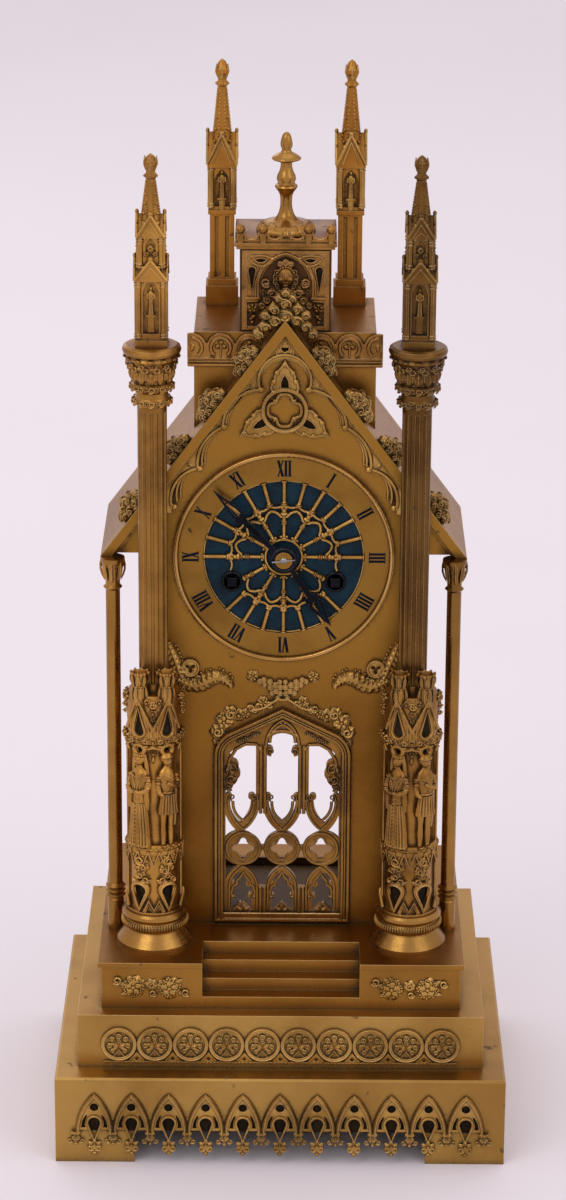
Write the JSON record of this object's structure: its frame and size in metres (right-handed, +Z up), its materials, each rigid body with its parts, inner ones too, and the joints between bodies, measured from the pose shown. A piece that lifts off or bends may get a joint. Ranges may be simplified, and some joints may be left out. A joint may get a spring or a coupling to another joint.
{
  "type": "cathedral mantel clock",
  "caption": "Gothic cathedral-front mantel clock in gilt bronze: stepped base, gabled house with pierced window, figured columns, pinnacles, rose dial and spring movement.",
  "frame": {"origin": "centre of the base's underside, on the surface the clock stands on", "axes": "+X to the right as seen from the front, +Y towards the back, +Z up"},
  "size_m": [0.21, 0.161, 0.4969],
  "materials": {
    "gilt_case": "worn satin gilding with brown patina",
    "gilt_mount": "cast gilt ornament, bright edges and dark recesses",
    "dial_brass": "brushed brass with black engraved numerals",
    "blue_ground": "mottled dark petrol blue",
    "blued_steel": "blue-black polished steel",
    "movement_brass": "lacquered brass",
    "steel": "polished steel",
    "bell_metal": "pale polished bell bronze"
  },
  "bodies": {
    "case": {"base_plinth": "gilt_case", "arcade_frieze": "gilt_mount", "middle_plinth": "gilt_case", "roundel_frieze": "gilt_mount", "step_platform": "gilt_case", "stair_flight": "gilt_case", "platform_mounts": "gilt_mount", "facade_panel": "gilt_case", "raking_cornice": "gilt_case", "gable_tracery": "gilt_mount", "rake_crockets": "gilt_mount", "spandrel_mounts": "gilt_mount", "door_frame": "gilt_mount", "door_tracery": "gilt_mount", "body_walls": "gilt_case", "rear_panel": "gilt_case", "roof_slopes": "gilt_case", "attic_block": "gilt_case", "attic_frieze": "gilt_mount", "turret_body": "gilt_case", "turret_relief": "gilt_mount", "turret_cornice": "gilt_mount", "urn_finial": "gilt_mount", "rear_pinnacles": "gilt_case", "front_pinnacles": "gilt_mount", "column_feet": "gilt_case", "column_drums": "gilt_mount", "column_shafts": "gilt_case", "column_capitals": "gilt_mount", "colonnettes": "gilt_case", "dial_bezel": "gilt_case", "chapter_ring": "dial_brass", "rose_tracery": "gilt_mount", "dial_backing": "blue_ground", "front_plate": "movement_brass", "back_plate": "movement_brass", "plate_pillars": "movement_brass", "bezel_straps": "movement_brass", "suspension_bracket": "movement_brass", "bell": "bell_metal", "bell_post": "steel"},
    "minute_arbor": {"centre_wheel": "movement_brass", "minute_hand": "blued_steel", "hand_collet": "movement_brass"},
    "hour_pipe": {"hour_wheel": "movement_brass", "hour_hand": "blued_steel"},
    "motion_pair": {"motion_wheel": "movement_brass"},
    "link_pair": {"link_wheel": "movement_brass"},
    "third_pair": {"third_wheel": "movement_brass"},
    "escape_pair": {"escape_wheel": "movement_brass"},
    "going_drum": {"going_barrel": "movement_brass"},
    "going_winder": {"going_arbor": "steel"},
    "strike_drum": {"strike_barrel": "movement_brass"},
    "strike_winder": {"strike_arbor": "steel"},
    "pin_pair": {"pin_wheel": "movement_brass"},
    "fly_fan": {"fly": "movement_brass"},
    "anchor": {"pallets": "steel"},
    "pendulum_rod": {"pendulum": "movement_brass"},
    "hammer_arm": {"hammer": "steel"},
    "dust_door": {"rear_door": "movement_brass"}
  },
  "joints": [
    {"name": "minute_turn", "type": "hinge", "parent": "case", "child": "minute_arbor", "pos_m": [0, 0, 0.2784], "axis": [0, 1, 0], "continuous": true},
    {"name": "hour_turn", "type": "hinge", "parent": "case", "child": "hour_pipe", "pos_m": [0, 0, 0.2784], "axis": [0, 1, 0], "continuous": true},
    {"name": "motion_turn", "type": "hinge", "parent": "case", "child": "motion_pair", "pos_m": [0.00482, 0, 0.28675], "axis": [0, 1, 0], "continuous": true},
    {"name": "link_turn", "type": "hinge", "parent": "case", "child": "link_pair", "pos_m": [0.01476, 0, 0.28521], "axis": [0, 1, 0], "continuous": true},
    {"name": "third_turn", "type": "hinge", "parent": "case", "child": "third_pair", "pos_m": [-0.01077, 0, 0.28901], "axis": [0, 1, 0], "continuous": true},
    {"name": "escape_turn", "type": "hinge", "parent": "case", "child": "escape_pair", "pos_m": [0, 0, 0.2954], "axis": [0, 1, 0], "continuous": true},
    {"name": "going_drum_turn", "type": "hinge", "parent": "case", "child": "going_drum", "pos_m": [0.0238, 0, 0.2662], "axis": [0, 1, 0], "continuous": true},
    {"name": "going_wind", "type": "hinge", "parent": "case", "child": "going_winder", "pos_m": [0.0238, 0, 0.2662], "axis": [0, 1, 0], "continuous": true},
    {"name": "strike_drum_turn", "type": "hinge", "parent": "case", "child": "strike_drum", "pos_m": [-0.0238, 0, 0.2662], "axis": [0, 1, 0], "continuous": true},
    {"name": "strike_wind", "type": "hinge", "parent": "case", "child": "strike_winder", "pos_m": [-0.0238, 0, 0.2662], "axis": [0, 1, 0], "continuous": true},
    {"name": "pin_turn", "type": "hinge", "parent": "case", "child": "pin_pair", "pos_m": [-0.02746, 0, 0.28693], "axis": [0, 1, 0], "continuous": true},
    {"name": "fly_turn", "type": "hinge", "parent": "case", "child": "fly_fan", "pos_m": [-0.02043, 0, 0.2991], "axis": [0, 1, 0], "continuous": true},
    {"name": "pendulum_swing", "type": "hinge", "parent": "case", "child": "pendulum_rod", "pos_m": [0, 0, 0.3084], "axis": [0, 1, 0], "range_deg": [-4, 4]},
    {"name": "anchor_rock", "type": "hinge", "parent": "case", "child": "anchor", "pos_m": [0, 0, 0.3084], "axis": [0, 1, 0], "range_deg": [-4.2, 4.2]},
    {"name": "hammer_lift", "type": "hinge", "parent": "case", "child": "hammer_arm", "pos_m": [-0.036, 0, 0.3004], "axis": [0, -1, 0], "range_deg": [0, 14]},
    {"name": "dust_door_swing", "type": "hinge", "parent": "case", "child": "dust_door", "pos_m": [-0.0486, 0.05985, 0.2784], "axis": [0, 0, 1], "range_deg": [0, 105]}
  ],
  "couplings": [
    {"joint": "hour_turn", "follows": "minute_turn", "ratio": 0.083333},
    {"joint": "motion_turn", "follows": "minute_turn", "ratio": -0.33333},
    {"joint": "link_turn", "follows": "minute_turn", "ratio": -0.2},
    {"joint": "going_drum_turn", "follows": "minute_turn", "ratio": 0.033333},
    {"joint": "third_turn", "follows": "minute_turn", "ratio": -12},
    {"joint": "escape_turn", "follows": "minute_turn", "ratio": 144},
    {"joint": "pin_turn", "follows": "strike_drum_turn", "ratio": -6},
    {"joint": "fly_turn", "follows": "strike_drum_turn", "ratio": 36},
    {"joint": "anchor_rock", "follows": "pendulum_swing", "ratio": 1}
  ]
}
